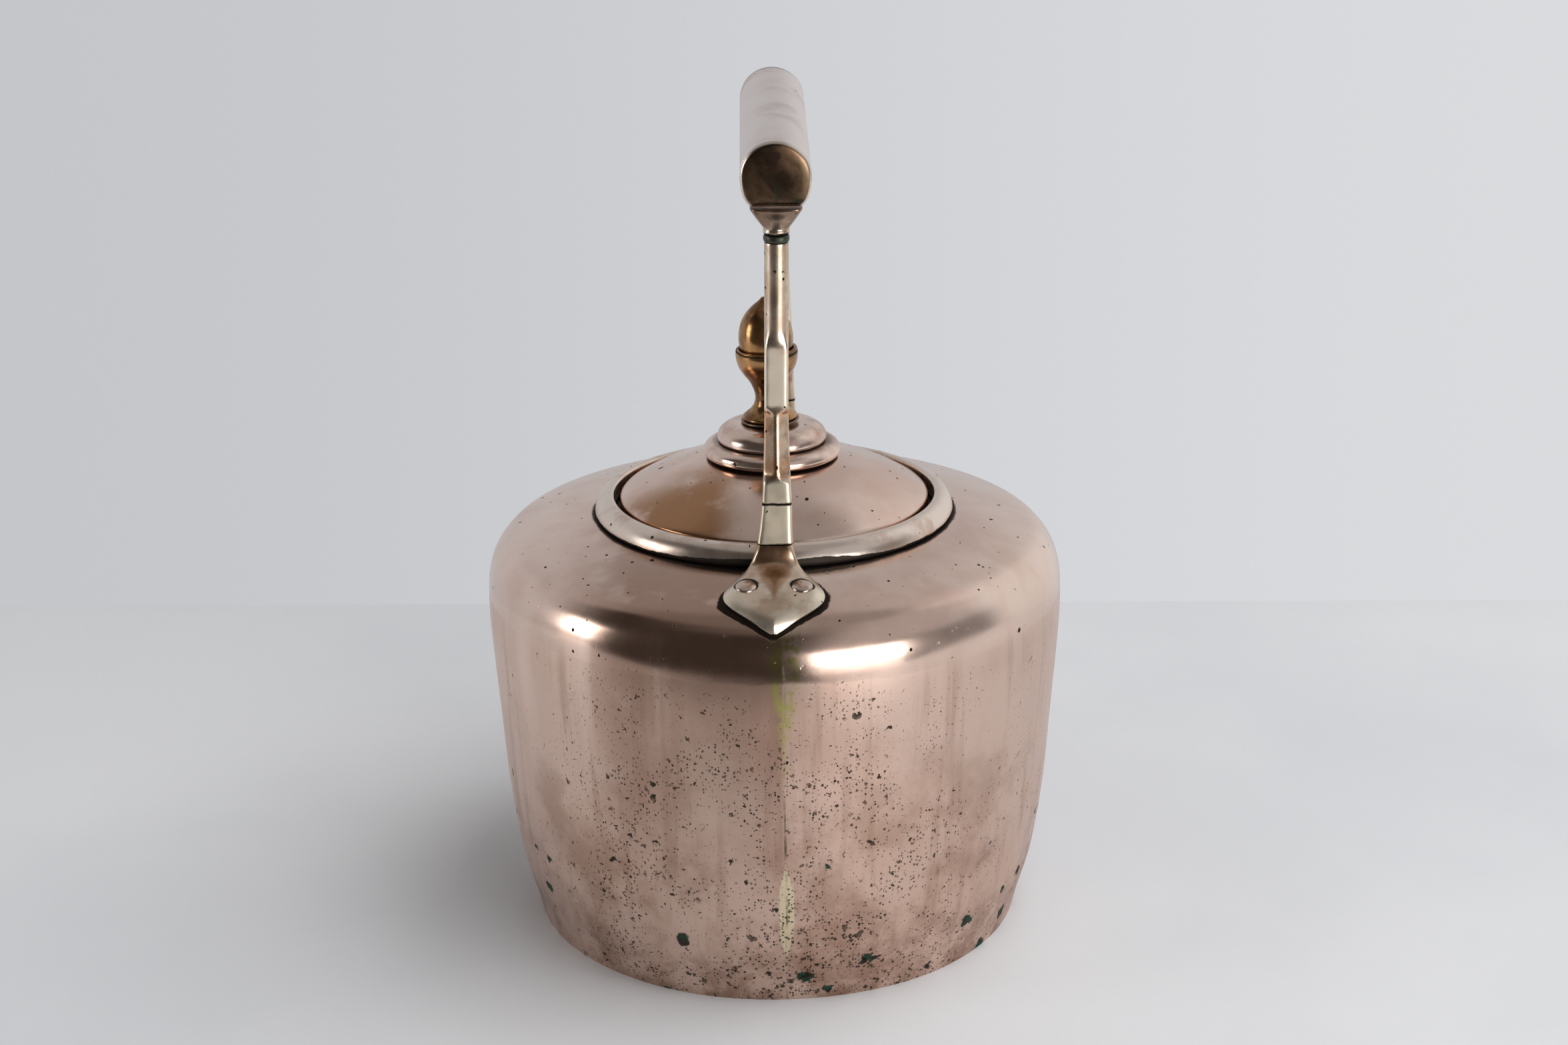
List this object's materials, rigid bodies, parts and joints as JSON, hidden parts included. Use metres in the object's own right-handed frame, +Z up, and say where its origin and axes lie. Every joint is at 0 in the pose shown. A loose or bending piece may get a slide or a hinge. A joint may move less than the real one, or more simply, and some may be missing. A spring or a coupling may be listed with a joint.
{
  "type": "kettle",
  "caption": "Stove-top kettle: tapered round body, lift-off domed lid with an acorn knob, riveted uprights carrying a tube grip, and a goose-neck spout.",
  "frame": {"origin": "centre of the base, in the plane that the kettle stands on", "axes": "+Z up along the body's axis, +Y towards the spout, +X to the right when the spout points away"},
  "size_m": [0.2096, 0.2688, 0.3037],
  "materials": {
    "copper": "polished copper, tarnished",
    "brown_copper": "dull oxidised copper",
    "brass": "polished brass, pale",
    "orange_brass": "polished brass, orange tone",
    "dark_brass": "darkened, unpolished",
    "verdigris": "green-brown verdigris"
  },
  "bodies": {
    "kettle": {"body_wall": "copper", "body_shoulder": "copper", "base_pan": "brown_copper", "mouth_ring": "brass", "spout_tube": "copper", "spout_collar": "copper", "spout_lip": "brass", "grip_tube": "copper", "rear_foot": "brass", "rear_ferrule": "brass", "rear_stem": "brass", "rear_collar": "verdigris", "rear_saddle": "brass", "rear_end_cap": "dark_brass", "rear_rivet_left": "copper", "rear_rivet_right": "copper", "rear_burr_left": "copper", "rear_burr_right": "copper", "front_foot": "brass", "front_ferrule": "brass", "front_stem": "brass", "front_collar": "verdigris", "front_saddle": "brass", "front_end_cap": "dark_brass", "front_rivet_left": "copper", "front_rivet_right": "copper", "front_burr_left": "copper", "front_burr_right": "copper"},
    "lid": {"lid_dome": "copper", "lid_skirt": "brown_copper", "finial_step_lower": "copper", "finial_step_upper": "copper", "knob_ring": "dark_brass", "acorn_stem": "orange_brass", "acorn_nut": "orange_brass", "knob_washer": "brass", "knob_nut": "brass", "knob_stud": "brass"}
  },
  "joints": [
    {"name": "lid_lift", "type": "slide", "parent": "kettle", "child": "lid", "axis": [0, 0, 1], "range_m": [0, 0.036]}
  ]
}
